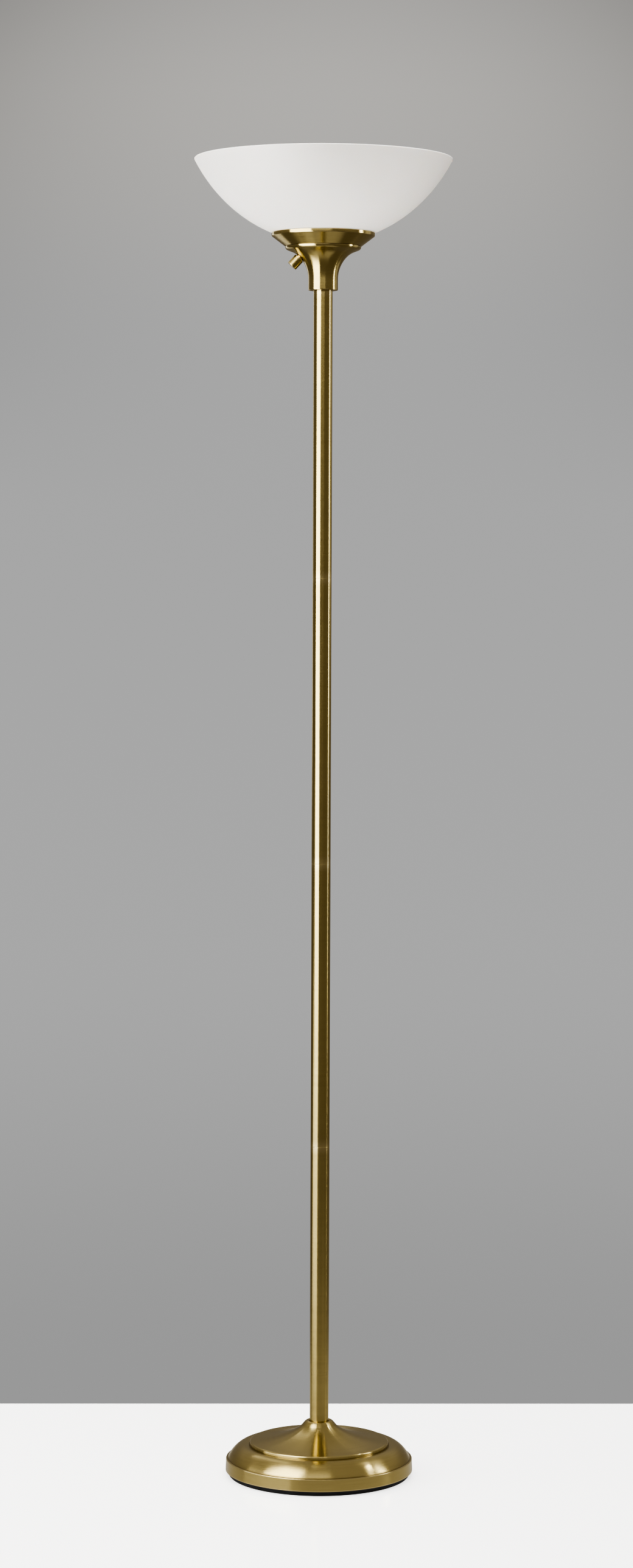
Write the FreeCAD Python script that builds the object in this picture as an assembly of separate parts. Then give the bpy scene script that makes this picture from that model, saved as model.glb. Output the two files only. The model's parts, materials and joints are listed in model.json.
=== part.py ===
"""Torchiere floor lamp: weighted spun base, four-piece pole, spun cup and an opal glass bowl.

Millimetres, +Z up.  The origin is on the pole's axis, on the surface that the lamp stands on.
The rotary switch's knob points down and out towards -X, and the cord leaves the base towards +Y.
"""
import FreeCAD, Part
import math
import os

Vector = FreeCAD.Vector
UP = Vector(0, 0, 1)
ORIGIN = Vector(0, 0, 0)

# Base, bottom to top
foot_height = 7.0
foot_radius = 124.6
foot_inner_radius = 111.0
board_radius = 117.0
board_thickness = 1.2
weight_radius = 126.8
weight_height = 15.5
weight_recess_radius = 100.0
weight_recess_depth = 9.5
boss_radius = 32.0
boss_top = 46.0
pocket_radius = 20.0
pocket_top = 34.0
cover_thickness = 1.0
skirt_radius = 129.0
skirt_bottom = 6.9
ledge_height = 23.6
dome_foot_radius = 125.9
step_radius = 95.9
step_foot = 41.6
step_top = 46.9
hub_top = 75.3
hub_recess_radius = 13.4

# Pole: four equal tubes end to end
tube_radius = 13.0
tube_wall = 0.8
tube_length = 389.8
tube_count = 4
tube_end_chamfer = 0.3
pole_foot = 66.2
pole_top = pole_foot + tube_count * tube_length
insert_radius = tube_radius - tube_wall - 0.1
insert_length = 18.0

# Hollow threaded pipe that holds the base, the joints and the cup; threads are left plain
pipe_radius = 4.9
pipe_bore = 3.4
thread_hole = 5.0
clearance_hole = 5.4
nut_across_flats = 16.0
washer_thickness = 1.6

# Spun cup under the bowl
cup_thickness = 0.9
neck_radius = 20.15
neck_top = pole_top + 15.6
flare_radius = 42.6
flare_top = pole_top + 52.1
band_radius = 51.5
band_bottom = pole_top + 54.6
band_top = pole_top + 59.3
cup_radius = 70.05
cone_top = pole_top + 73.2
cup_rim = pole_top + 77.75

# Opal glass bowl: part of an ellipsoid of revolution
bowl_half_width = 201.3
bowl_half_height = 220.5
bowl_centre = 1910.2
bowl_wall = 4.0
bowl_rim = 1803.0
bowl_hole_radius = 21.2

# Lampholder, on the pipe above the cup nut
saddle_z = 1657.0
saddle_thickness = 1.2
saddle_half_width = 6.0
saddle_leg = 12.2
holder_bottom = 1676.0
holder_radius = 14.5
holder_flange_bottom = 1688.0
holder_flange_top = 1690.3
holder_flange_radius = 22.8
collar_radius = 19.3
collar_top = 1730.0
collar_bore = 14.2
holder_floor = 1692.0
ring_radius = 28.0
ring_bottom = 1697.4
ring_top = 1702.4
gasket_bottom = 1695.9

# Bulb, screw cap down
bulb_tip = 1696.0
cap_bottom = 1699.0
cap_top = 1722.0
cap_radius = 13.05
bulb_radius = 30.0
bulb_centre = 1770.0

# Rotary switch: t is the distance out of the cup's skin along the spindle
switch_point = Vector(-31.7, 0, 1669.9)
switch_axis = Vector(-0.684, 0, -0.729)
switch_front = -2.8
switch_length = 11.5
spindle_radius = 2.0
knob_radius = 7.25
knob_inner_end = 1.4
knob_outer_end = 16.0
knob_recess_radius = 6.5
knob_recess_end = 2.8

# Lead and wires
lead_radius = 2.2
lead_height = 13.2
lead_bend = 9.5
lead_top = 1663.5
wire_radius = 0.9
bushing_outer_end = 131.6


def edge(points):
    """A straight edge from two (radius, height) points, or a Bezier curve from more."""
    places = [Vector(radius, 0, height) for radius, height in points]
    if len(places) == 2:
        return Part.LineSegment(places[0], places[1]).toShape()
    curve = Part.BezierCurve()
    curve.setPoles(places)
    return curve.toShape()


def polygon(points):
    """Straight edges round a closed (radius, height) outline."""
    following = points[1:] + points[:1]
    return [edge([start, end]) for start, end in zip(points, following)]


def spin(edges):
    """The solid that a closed outline sweeps round the Z axis."""
    wire = Part.Wire(Part.__sortEdges__(edges))
    return Part.Face(wire).revolve(ORIGIN, UP, 360)


def ring(inner, outer, bottom, top):
    """A plain washer or tube."""
    body = Part.makeCylinder(outer, top - bottom, Vector(0, 0, bottom))
    return body.cut(Part.makeCylinder(inner, top - bottom, Vector(0, 0, bottom)))


def shifted(points, distance):
    """A path moved sideways to its left by a distance, with its corners mitred."""
    moved = []
    for index, (radius, height) in enumerate(points):
        normals = []
        for start, end in ((index - 1, index), (index, index + 1)):
            if start < 0 or end >= len(points):
                continue
            run = (points[end][0] - points[start][0], points[end][1] - points[start][1])
            length = math.hypot(*run)
            normals.append((-run[1] / length, run[0] / length))
        across = sum(normal[0] for normal in normals)
        along = sum(normal[1] for normal in normals)
        reach = distance * len(normals) / (across * across + along * along)
        moved.append((radius + reach * across, height + reach * along))
    return moved


def spun_sheet(stretches, thickness):
    """A spun sheet: its show face is the given stretches, its back lies to their left."""
    path = list(stretches[0])
    for stretch in stretches[1:]:
        path.extend(stretch[1:])
    back_path = shifted(path, thickness)
    front = [edge(stretch) for stretch in stretches]
    back = []
    start = 0
    for stretch in stretches:
        end = start + len(stretch) - 1
        back.append(edge(back_path[start:end + 1]))
        start = end
    ends = [edge([path[0], back_path[0]]), edge([path[-1], back_path[-1]])]
    return spin(front + back + ends)


def hex_nut(bottom, height):
    """A chamfered hexagon nut with a plain hole."""
    corner = nut_across_flats / 2 / math.cos(math.pi / 6)
    corners = []
    for step in range(7):
        angle = step * math.pi / 3
        corners.append(Vector(corner * math.cos(angle), corner * math.sin(angle), bottom))
    prism = Part.Face(Part.makePolygon(corners)).extrude(Vector(0, 0, height))
    flat = corner - 1.0
    top = bottom + height
    outline = [(thread_hole, bottom), (flat, bottom), (corner, bottom + 0.8), (corner, top - 0.8),
               (flat, top), (thread_hole, top)]
    return prism.common(spin(polygon(outline)))


def lock_washer(bottom):
    """A split spring washer."""
    washer = ring(clearance_hole, 9.0, bottom, bottom + washer_thickness)
    slit = Part.makeBox(6.0, 1.2, 3.0, Vector(4.5, -0.6, bottom - 0.5))
    return washer.cut(slit)


def run_of_tube(points, bend_radii, radius):
    """A round wire along straight runs joined by tangent arcs."""
    places = [Vector(*point) for point in points]
    edges = []
    start = places[0]
    for before, corner, after, bend in zip(places, places[1:], places[2:], bend_radii):
        back = (before - corner).normalize()
        ahead = (after - corner).normalize()
        half = back.getAngle(ahead) / 2
        trim = bend / math.tan(half)
        entry = corner + back * trim
        leave = corner + ahead * trim
        bisector = (back + ahead).normalize()
        middle = corner + bisector * (bend / math.sin(half) - bend)
        edges.append(Part.LineSegment(start, entry).toShape())
        edges.append(Part.Arc(entry, middle, leave).toShape())
        start = leave
    edges.append(Part.LineSegment(start, places[-1]).toShape())
    path = Part.Wire(edges)
    direction = (places[1] - places[0]).normalize()
    section = Part.Wire(Part.Circle(places[0], direction, radius).toShape())
    return path.makePipeShell([section], True, False)


def on_switch_axis(shape):
    """Move a shape built round +Z to the spindle's line, with z = 0 on the cup's skin."""
    turn = FreeCAD.Rotation(UP, switch_axis)
    shape.Placement = FreeCAD.Placement(switch_point, turn)
    return shape


# ---------------------------------------------------------------- base

def foot_ring():
    """Moulded black ring that the lamp stands on, with a rebate for the bottom board."""
    rebate = foot_height - board_thickness
    outline = [(foot_inner_radius, 1.0), (foot_inner_radius + 1.0, 0), (foot_radius - 1.2, 0),
               (foot_radius, 1.2), (foot_radius, foot_height), (board_radius + 0.3, foot_height),
               (board_radius + 0.3, rebate), (foot_inner_radius, rebate)]
    return spin(polygon(outline))


def bottom_board():
    """Fibre disc that closes the base underneath."""
    return Part.makeCylinder(board_radius, board_thickness, Vector(0, 0, foot_height - board_thickness))


def base_weight():
    """Cast iron weight: a disc with a boss, hollowed underneath for the nut and the lead."""
    top = foot_height + weight_height
    recess_top = foot_height + weight_recess_depth
    outline = [(clearance_hole, pocket_top), (pocket_radius, pocket_top),
               (pocket_radius + 1.5, recess_top), (weight_recess_radius - 2.0, recess_top),
               (weight_recess_radius, foot_height), (weight_radius, foot_height),
               (weight_radius, top - 1.5), (weight_radius - 1.5, top), (boss_radius + 5.0, top),
               (boss_radius, top + 5.0), (boss_radius - 2.0, boss_top), (clearance_hole, boss_top)]
    weight = spin(polygon(outline))
    channel_height = 12.7
    channel = Part.makeBox(14.0, 40.0, channel_height,
                           Vector(-7.0, weight_recess_radius - 8.0, foot_height - 0.2))
    return weight.cut(channel)


def base_cover():
    """Spun brass cover: skirt, ledge, dome, step, flare and the hub that the pole stands in."""
    skirt_top = ledge_height - 1.1
    lip = hub_recess_radius
    stretches = [
        [(skirt_radius, skirt_bottom), (skirt_radius - 0.65, skirt_top)],
        [(skirt_radius - 0.65, skirt_top), (skirt_radius - 0.7, ledge_height),
         (skirt_radius - 1.9, ledge_height)],
        [(skirt_radius - 1.9, ledge_height), (dome_foot_radius, ledge_height + 0.15)],
        [(dome_foot_radius, ledge_height + 0.15), (112.0, 46.8), (99.0, 42.2), (step_radius, step_foot)],
        [(step_radius, step_foot), (step_radius - 0.3, step_foot + 2.8)],
        [(step_radius - 0.3, step_foot + 2.8), (step_radius - 0.5, step_top - 0.1),
         (step_radius - 2.9, step_top)],
        [(step_radius - 2.9, step_top), (62.0, 48.8), (31.5, 58.6), (22.6, 70.0)],
        [(22.6, 70.0), (19.9, 73.4), (18.4, hub_top), (16.2, hub_top)],
        [(16.2, hub_top), (lip, hub_top), (lip, hub_top - 1.9)],
        [(lip, hub_top - 1.9), (lip, pole_foot)],
        [(lip, pole_foot), (clearance_hole + 0.2, pole_foot)],
    ]
    cover = spun_sheet(stretches, cover_thickness)
    cord_hole = Part.makeCylinder(5.2, 20.0, Vector(0, skirt_radius - 10.0, lead_height), Vector(0, 1, 0))
    return cover.cut(cord_hole)


def base_stud():
    """Hollow threaded pipe that ties the weight, the cover and the pole together."""
    return ring(pipe_bore, pipe_radius, 22.0, 84.0)


def base_flat_washer():
    """Broad washer against the weight."""
    return ring(clearance_hole, 15.0, pocket_top - washer_thickness, pocket_top)


def base_lock_washer():
    """Spring washer under the flat washer."""
    return lock_washer(pocket_top - 2 * washer_thickness)


def base_nut():
    """Nut that clamps the whole base."""
    height = 6.0
    return hex_nut(pocket_top - 2 * washer_thickness - height, height)


def cord_bushing():
    """Flanged grommet in the back of the skirt, where the cord leaves."""
    def length_to(start, end, radius):
        return Part.makeCylinder(radius, end - start, Vector(0, start, lead_height), Vector(0, 1, 0))
    inner_end = skirt_radius - 5.0
    body = length_to(inner_end, bushing_outer_end, 4.9)
    flange = length_to(skirt_radius + 0.1, bushing_outer_end, 5.9)
    bore = length_to(inner_end - 1.0, bushing_outer_end + 1.0, lead_radius + 0.1)
    bushing = body.fuse(flange)
    bushing = bushing.makeFillet(0.8, [item for item in bushing.Edges
                                       if abs(item.CenterOfMass.y - bushing_outer_end) < 0.01
                                       and abs(item.Length - 2 * math.pi * 5.9) < 0.1])
    return bushing.cut(bore)


# ---------------------------------------------------------------- pole

def pole_tube(index):
    """One of the four brass tubes, its ends lightly chamfered so that the joints show."""
    bottom = pole_foot + index * tube_length
    top = bottom + tube_length
    inner = tube_radius - tube_wall
    bevel = tube_end_chamfer
    outline = [(inner, bottom), (tube_radius - bevel, bottom), (tube_radius, bottom + bevel),
               (tube_radius, top - bevel), (tube_radius - bevel, top), (inner, top)]
    return spin(polygon(outline))


def threaded_insert(bottom, top):
    """Plug swaged into a tube's end, with a threaded hole."""
    return ring(thread_hole, insert_radius, bottom, top)


def joint_stud(index):
    """Plug in the foot of an upper tube, with the hollow stud that screws into the tube below."""
    joint = pole_foot + index * tube_length
    outline = [(pipe_bore, joint - 14.0), (pipe_radius - 0.6, joint - 14.0),
               (pipe_radius, joint - 13.4), (pipe_radius, joint + 0.3),
               (insert_radius, joint + 0.3), (insert_radius, joint + 16.0),
               (pipe_bore, joint + 16.0)]
    return spin(polygon(outline))


# ---------------------------------------------------------------- cup

def top_nipple():
    """Hollow threaded pipe from the pole's top through the cup to the lampholder."""
    return ring(pipe_bore, pipe_radius, pole_top - 16.0, saddle_z + 5.0)


def cup_floor_top():
    return pole_top + cup_thickness


def cup_washer():
    """Flat washer on the cup's floor."""
    return ring(clearance_hole, 16.0, cup_floor_top(), cup_floor_top() + washer_thickness)


def cup_lock_washer():
    """Spring washer on the flat washer."""
    return lock_washer(cup_floor_top() + washer_thickness)


def cup_nut():
    """Nut that clamps the cup on the pole."""
    return hex_nut(cup_floor_top() + 2 * washer_thickness, 5.0)


def shade_cup():
    """Spun brass cup: neck, flare, bead band, cone and a rolled rim that the bowl sits on."""
    turn = 1.25
    cone_start = (band_radius + 0.1, band_top)
    stretches = [
        [(clearance_hole - 0.1, pole_top), (neck_radius - turn, pole_top)],
        [(neck_radius - turn, pole_top), (neck_radius, pole_top), (neck_radius, pole_top + turn)],
        [(neck_radius, pole_top + turn), (neck_radius, neck_top)],
        [(neck_radius, neck_top), (neck_radius, neck_top + 17.0), (30.8, flare_top - 4.2),
         (flare_radius, flare_top)],
        [(flare_radius, flare_top), (band_radius - 2.6, band_bottom)],
        [(band_radius - 2.6, band_bottom), (band_radius + 0.1, band_bottom + 1.3), cone_start],
        [cone_start, (cup_radius - 0.7, cone_top - 0.5)],
        [(cup_radius - 0.7, cone_top - 0.5), (cup_radius, cone_top), (cup_radius, cone_top + 0.9)],
        [(cup_radius, cone_top + 0.9), (cup_radius, cup_rim - 0.75)],
        [(cup_radius, cup_rim - 0.75), (cup_radius, cup_rim), (cup_radius - 0.65, cup_rim)],
    ]
    cup = spun_sheet(stretches, cup_thickness)
    groove = spin(polygon([(band_radius - 0.35, band_top), (band_radius + 1.5, band_top - 0.5),
                           (band_radius + 1.5, band_top + 0.5)]))
    spindle_hole = on_switch_axis(Part.makeCylinder(5.2, 12.0, Vector(0, 0, -6.0)))
    return cup.cut(groove).cut(spindle_hole)


# ---------------------------------------------------------------- lampholder and bowl

def bowl_face(half_width, half_height, radius_at_hole, height_at_rim):
    """One face of the bowl's wall, from its hole to its rim, with its two end points."""
    centre = Vector(0, 0, bowl_centre)
    curve = Part.Ellipse(centre - Vector(0, 0, half_height), centre + Vector(half_width, 0, 0), centre)
    start = math.asin(radius_at_hole / half_width)
    end = math.acos((bowl_centre - height_at_rim) / half_height)
    return curve.toShape(start, end), curve.value(start), curve.value(end)


def glass_bowl():
    """Opal glass bowl with a hole for the lampholder and a fire-polished rim."""
    shoulder = bowl_rim - bowl_wall / 2
    outside, outside_hole, outside_rim = bowl_face(
        bowl_half_width, bowl_half_height, bowl_hole_radius, shoulder)
    inside, inside_hole, inside_rim = bowl_face(
        bowl_half_width - bowl_wall, bowl_half_height - bowl_wall, bowl_hole_radius, shoulder + 0.6)
    crown = (outside_rim + inside_rim) * 0.5
    crown.z = bowl_rim
    rim = Part.Arc(outside_rim, crown, inside_rim).toShape()
    hole = Part.LineSegment(inside_hole, outside_hole).toShape()
    return spin([outside, rim, inside, hole])


def socket_saddle():
    """Bent strip that screws on the pipe and carries the lampholder."""
    width = 2 * saddle_half_width
    web = Part.makeBox(width, 2 * saddle_leg, saddle_thickness,
                       Vector(-saddle_half_width, -saddle_leg, saddle_z))
    saddle = web.cut(Part.makeCylinder(thread_hole, 4.0, Vector(0, 0, saddle_z - 1.0)))
    leg_height = holder_bottom - saddle_z
    for side in (-1, 1):
        inner_face = side * saddle_leg - (saddle_thickness if side > 0 else 0)
        leg = Part.makeBox(width, saddle_thickness, leg_height,
                           Vector(-saddle_half_width, inner_face, saddle_z))
        tab_start = 5.0 if side > 0 else -saddle_leg
        tab = Part.makeBox(width, saddle_leg - 5.0, saddle_thickness,
                           Vector(-saddle_half_width, tab_start, holder_bottom - saddle_thickness))
        saddle = saddle.fuse(leg).fuse(tab)
        saddle = saddle.cut(Part.makeCylinder(1.7, 4.0, Vector(0, side * 8.0, holder_bottom - 3.0)))
    return saddle.removeSplitter()


def saddle_screws():
    """Two pan-head screws that hold the lampholder on its saddle."""
    screws = []
    head_top = holder_bottom - saddle_thickness
    for side in (-1, 1):
        place = Vector(0, side * 8.0, head_top - 1.8)
        head = Part.makeCylinder(2.6, 1.8, place)
        shank = Part.makeCylinder(1.45, 9.0, place)
        slot = Part.makeBox(6.0, 0.6, 0.7, place + Vector(-3.0, -0.3, -0.1))
        screws.append(head.fuse(shank).cut(slot))
    return Part.makeCompound(screws)


def socket_body():
    """Moulded lampholder with a threaded collar, open at the top for the bulb's cap."""
    outline = [(0, holder_bottom), (holder_radius, holder_bottom), (holder_radius, holder_flange_bottom),
               (holder_flange_radius, holder_flange_bottom), (holder_flange_radius, holder_flange_top),
               (collar_radius - 0.7, holder_flange_top)]
    pitch = 2.6
    turns = 14
    for turn in range(turns):
        bottom = holder_flange_top + 1.0 + turn * pitch
        outline.append((collar_radius - 0.7, bottom))
        outline.append((collar_radius, bottom + 0.9))
        outline.append((collar_radius, bottom + 1.5))
        outline.append((collar_radius - 0.7, bottom + 2.4))
    outline += [(collar_radius - 0.7, collar_top - 0.8), (collar_radius - 1.5, collar_top),
                (collar_bore + 1.0, collar_top), (collar_bore, collar_top - 1.0),
                (collar_bore, holder_floor), (0, holder_floor)]
    body = spin(polygon(outline))
    for side in (-1, 1):
        body = body.cut(Part.makeCylinder(1.5, 8.0, Vector(0, side * 8.0, holder_bottom - 1.0)))
    return body


def socket_screw_shell():
    """Rolled metal shell that the bulb's cap screws into."""
    outline = [(13.45, holder_floor + 4.5), (13.85, holder_floor + 4.5), (13.85, 1723.0),
               (14.05, 1724.5), (13.7, 1724.5), (13.45, 1723.0)]
    return spin(polygon(outline))


def socket_centre_contact():
    """Domed contact in the middle of the lampholder's floor."""
    stretches = [(0, holder_floor), (4.2, holder_floor), (4.2, holder_floor + 1.2),
                 (2.6, holder_floor + 3.0), (0, bulb_tip - 0.4)]
    return spin(polygon(stretches))


def terminal_screws():
    """Two wire terminals on the lampholder's lower body."""
    screws = []
    for direction in (Vector(1, 0, 0), Vector(0, -1, 0)):
        place = Vector(0, 0, 1682.0) + direction * (holder_radius + 0.05)
        screws.append(Part.makeCylinder(3.0, 1.8, place, direction))
    return Part.makeCompound(screws)


def bowl_gasket():
    """Soft washer between the ring and the glass."""
    return ring(collar_radius + 0.4, ring_radius - 0.5, gasket_bottom, ring_bottom)


def bowl_ring():
    """Scalloped ring that screws down on the collar and holds the bowl."""
    body = ring(collar_radius + 0.3, ring_radius, ring_bottom, ring_top)
    scallops = 12
    for index in range(scallops):
        angle = index * 2 * math.pi / scallops
        reach = ring_radius + 1.6
        place = Vector(reach * math.cos(angle), reach * math.sin(angle), ring_bottom + 1.2)
        body = body.cut(Part.makeCylinder(2.8, ring_top - ring_bottom, place))
    return body


# ---------------------------------------------------------------- switch and knob

def switch_body():
    """Rotary switch's moulded box, behind the cup's skin."""
    rear = switch_front - switch_length
    box = Part.makeBox(15.0, 16.0, switch_length, Vector(-7.5, -8.0, rear))
    long_edges = [item for item in box.Edges if abs(item.Length - switch_length) < 0.01]
    box = box.makeFillet(2.0, long_edges)
    return on_switch_axis(box.cut(Part.makeCylinder(2.4, 5.0, Vector(0, 0, switch_front - 4.5))))


def switch_bushing():
    """Threaded bushing that the spindle turns in."""
    body = Part.makeCylinder(4.8, 4.7, Vector(0, 0, switch_front))
    return on_switch_axis(body.cut(Part.makeCylinder(spindle_radius + 0.06, 6.0, Vector(0, 0, -3.5))))


def switch_ring_nut():
    """Thin ring nut outside the cup, hidden in the knob's recess."""
    return on_switch_axis(ring(4.9, 6.0, 0.8, 1.9))


def switch_spindle():
    """Spindle from the switch to the knob."""
    return on_switch_axis(Part.makeCylinder(spindle_radius, 18.0, Vector(0, 0, -6.0)))


def knob():
    """Turned brass knob with a bevelled end, recessed over the ring nut."""
    bevel = 0.5
    bore = spindle_radius + 0.04
    outline = [(0, 12.3), (bore, 12.3), (bore, knob_recess_end), (knob_recess_radius, knob_recess_end),
               (knob_recess_radius, knob_inner_end), (knob_radius - 0.2, knob_inner_end),
               (knob_radius, knob_inner_end + 0.2), (knob_radius, knob_outer_end - bevel),
               (knob_radius - bevel, knob_outer_end), (0, knob_outer_end)]
    screw_hole = Part.makeCylinder(1.55, 8.0, Vector(0, 0, 8.0), Vector(0, 1, 0))
    return on_switch_axis(spin(polygon(outline)).cut(screw_hole))


def knob_set_screw():
    """Socket set screw that locks the knob on its spindle."""
    screw = Part.makeCylinder(1.5, 4.7, Vector(0, 2.1, 8.0), Vector(0, 1, 0))
    socket = Part.makeCylinder(0.75, 1.6, Vector(0, 5.4, 8.0), Vector(0, 1, 0))
    return on_switch_axis(screw.cut(socket))


# ---------------------------------------------------------------- lead and wires

def pole_lead():
    """Lead from the bushing across the base and up the pole to the lampholder."""
    points = [(0, bushing_outer_end, lead_height), (0, 0, lead_height), (0, 0, lead_top)]
    return run_of_tube(points, [lead_bend], lead_radius)


def neutral_wire():
    """Wire from the lead to the lampholder's first terminal."""
    points = [(1.1, 0, lead_top), (1.1, 0, 1669.0), (21.0, 0, 1669.0), (21.0, 0, 1682.0),
              (holder_radius + 2.0, 0, 1682.0)]
    return run_of_tube(points, [3.5, 3.5, 2.2], wire_radius)


def line_wire():
    """Wire from the lead to the switch."""
    points = [(-1.1, 0, lead_top), (-1.1, 0, 1668.0), (-17.8, 0, 1668.0), (-20.5, 0, 1670.75)]
    return run_of_tube(points, [3.0, 2.0], wire_radius)


def switched_wire():
    """Wire from the switch to the lampholder's second terminal."""
    points = [(-24.5, -8.1, 1677.0), (-24.5, -16.0, 1677.0), (0, -23.0, 1682.0),
              (0, -holder_radius - 2.0, 1682.0)]
    return run_of_tube(points, [3.5, 3.5], wire_radius)


# ---------------------------------------------------------------- bulb

def bulb_contact():
    """Button under the bulb."""
    return spin([edge([(0, bulb_tip), (3.4, bulb_tip), (4.7, bulb_tip + 1.4)]),
                 edge([(4.7, bulb_tip + 1.4), (0, bulb_tip + 1.4)]),
                 edge([(0, bulb_tip + 1.4), (0, bulb_tip)])])


def bulb_insulator():
    """Black cone between the button and the cap."""
    return spin(polygon([(0, bulb_tip + 1.4), (5.2, bulb_tip + 1.4), (9.5, cap_bottom), (0, cap_bottom)]))


def bulb_cap():
    """Rolled screw cap; its thread is drawn as rounded rings."""
    groove_radius = cap_radius - 0.75
    pitch = 3.6
    turns = 5
    first = cap_bottom + 2.0
    edges = [edge([(0, cap_bottom), (9.6, cap_bottom)]), edge([(9.6, cap_bottom), (groove_radius, first)])]
    for turn in range(turns):
        bottom = first + turn * pitch
        peak = (cap_radius + 0.7, bottom + pitch / 2)
        edges.append(edge([(groove_radius, bottom), peak, (groove_radius, bottom + pitch)]))
    last = first + turns * pitch
    edges.append(edge([(groove_radius, last), (groove_radius, cap_top)]))
    edges.append(edge([(groove_radius, cap_top), (0, cap_top)]))
    edges.append(edge([(0, cap_top), (0, cap_bottom)]))
    return spin(edges)


def bulb_seam():
    """Radius and height where the diffuser meets the housing."""
    height = bulb_centre - 16.0
    return math.sqrt(bulb_radius ** 2 - 16.0 ** 2), height


def bulb_housing():
    """Moulded housing from the cap up to the diffuser."""
    seam_radius, seam_height = bulb_seam()
    edges = [edge([(0, cap_top), (13.0, cap_top)]), edge([(13.0, cap_top), (14.0, collar_top + 1.0)]),
             edge([(14.0, collar_top + 1.0), (15.0, 1740.0), (seam_radius, seam_height)]),
             edge([(seam_radius, seam_height), (0, seam_height)]), edge([(0, seam_height), (0, cap_top)])]
    return spin(edges)


def bulb_diffuser():
    """Thin opal dome of the bulb."""
    seam_radius, seam_height = bulb_seam()
    ball = Part.makeSphere(bulb_radius, Vector(0, 0, bulb_centre))
    hollow = Part.makeSphere(bulb_radius - 1.2, Vector(0, 0, bulb_centre))
    below = Part.makeCylinder(2 * bulb_radius, 60.0, Vector(0, 0, seam_height - 60.0))
    return ball.cut(hollow).cut(below)


def all_nodes():
    """Every sub-part by name."""
    nodes = {}
    for build in (foot_ring, bottom_board, base_weight, base_cover, base_stud, base_flat_washer,
                  base_lock_washer, base_nut, cord_bushing, top_nipple, cup_washer, cup_lock_washer,
                  cup_nut, shade_cup, glass_bowl, socket_saddle, saddle_screws, socket_body,
                  socket_screw_shell, socket_centre_contact, terminal_screws, bowl_gasket, bowl_ring,
                  switch_body, switch_bushing, switch_ring_nut, switch_spindle, knob, knob_set_screw,
                  pole_lead, neutral_wire, line_wire, switched_wire, bulb_contact, bulb_insulator,
                  bulb_cap, bulb_housing, bulb_diffuser):
        nodes[build.__name__] = build()
    nodes["pole_foot_insert"] = threaded_insert(pole_foot + 0.8, pole_foot + 0.8 + insert_length)
    nodes["pole_top_insert"] = threaded_insert(pole_top - insert_length, pole_top - 0.3)
    for index in range(tube_count):
        nodes["pole_tube_%d" % (index + 1)] = pole_tube(index)
    for index in range(1, tube_count):
        joint = pole_foot + index * tube_length
        nodes["joint_socket_%d" % index] = threaded_insert(joint - insert_length, joint - 0.3)
        nodes["joint_stud_%d" % index] = joint_stud(index)
    return nodes


def export_nodes():
    """Write one STEP file per node."""
    os.makedirs("parts", exist_ok=True)
    for name, shape in all_nodes().items():
        if not shape.isValid() or min(solid.Volume for solid in shape.Solids) <= 0:
            raise ValueError("bad solid: " + name)
        shape.exportStep("parts/" + name + ".step")


export_nodes()
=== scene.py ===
"""Looks for the torchiere floor lamp: spun brass, opal glass and the studio it stands in."""
import json
import math

import bpy
from mathutils import Matrix, Vector

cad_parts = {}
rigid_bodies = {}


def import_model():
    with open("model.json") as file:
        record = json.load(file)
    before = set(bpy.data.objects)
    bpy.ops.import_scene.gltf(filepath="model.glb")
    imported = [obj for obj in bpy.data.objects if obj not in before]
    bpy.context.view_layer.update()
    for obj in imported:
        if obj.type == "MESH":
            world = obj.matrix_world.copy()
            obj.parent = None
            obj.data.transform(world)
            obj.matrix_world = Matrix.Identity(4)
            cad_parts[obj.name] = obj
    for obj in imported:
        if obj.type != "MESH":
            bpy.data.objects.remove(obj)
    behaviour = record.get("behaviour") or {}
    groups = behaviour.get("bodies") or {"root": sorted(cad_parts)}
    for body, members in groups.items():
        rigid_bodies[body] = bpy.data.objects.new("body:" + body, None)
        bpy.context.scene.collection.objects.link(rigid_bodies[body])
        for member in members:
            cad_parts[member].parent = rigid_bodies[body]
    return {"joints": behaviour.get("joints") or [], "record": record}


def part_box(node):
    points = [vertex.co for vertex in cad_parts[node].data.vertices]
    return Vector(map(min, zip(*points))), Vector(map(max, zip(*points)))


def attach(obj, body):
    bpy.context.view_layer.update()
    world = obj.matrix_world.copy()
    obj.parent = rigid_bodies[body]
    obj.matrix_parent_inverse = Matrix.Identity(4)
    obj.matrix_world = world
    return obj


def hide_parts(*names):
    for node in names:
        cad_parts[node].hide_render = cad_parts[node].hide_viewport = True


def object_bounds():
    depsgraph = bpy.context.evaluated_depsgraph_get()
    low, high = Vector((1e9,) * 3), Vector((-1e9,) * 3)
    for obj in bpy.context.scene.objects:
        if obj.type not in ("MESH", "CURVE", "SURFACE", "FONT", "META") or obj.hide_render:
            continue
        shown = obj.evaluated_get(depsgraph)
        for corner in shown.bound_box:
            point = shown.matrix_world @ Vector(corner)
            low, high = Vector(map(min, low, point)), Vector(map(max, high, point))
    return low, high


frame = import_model()
cad_low, cad_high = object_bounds()
MM = 0.001

# ---------------------------------------------------------------- sizes, in millimetres

POLE_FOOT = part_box("pole_tube_1")[0].z / MM
POLE_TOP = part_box("pole_tube_4")[1].z / MM
TUBE_RADIUS = 13.0
TUBE_WALL = 0.8
TUBE_NODES = ("pole_tube_1", "pole_tube_2", "pole_tube_3", "pole_tube_4")
TUBE_LENGTH = (POLE_TOP - POLE_FOOT) / len(TUBE_NODES)
JOINT_BEVEL = 0.35

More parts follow.
